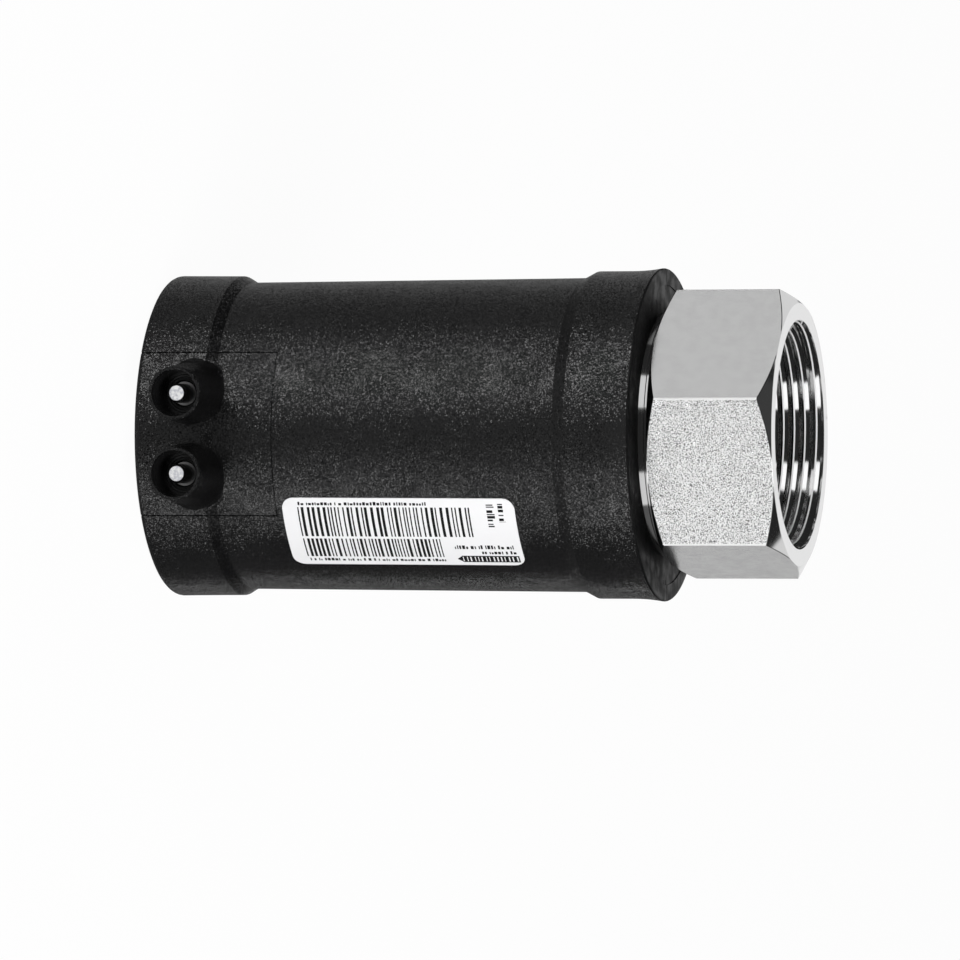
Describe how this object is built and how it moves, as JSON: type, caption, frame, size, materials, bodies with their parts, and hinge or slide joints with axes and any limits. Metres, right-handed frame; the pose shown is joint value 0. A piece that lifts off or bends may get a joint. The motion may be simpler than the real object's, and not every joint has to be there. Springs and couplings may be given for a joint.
{
  "type": "electrofusion transition fitting",
  "caption": "Plastic electrofusion socket with shrouded terminals at one end and a metal hexagon with a female pipe thread at the other.",
  "frame": {"origin": "centre of the socket's open end, on the pipe axis and in the plane of the end face", "axes": "+Z along the pipe axis from the socket's open end to the threaded end, -Y the way the two terminals point, +X the side that carries the label"},
  "size_m": [0.0702, 0.0801, 0.1357],
  "materials": {
    "body_plastic": "black moulded polyethylene with a fine grain",
    "insert_metal": "bright plated, turned and milled",
    "coil_wire": "bare resistance wire",
    "pin_metal": "tin plated",
    "seal_rubber": "smooth",
    "label_film": "white printed film"
  },
  "bodies": {
    "root": {"coupler_body": "body_plastic", "threaded_insert": "insert_metal", "heating_coil": "coil_wire", "terminal_pin_left": "pin_metal", "terminal_pin_right": "pin_metal", "seal_ring_inner": "seal_rubber", "seal_ring_outer": "seal_rubber", "label": "label_film"}
  },
  "joints": []
}
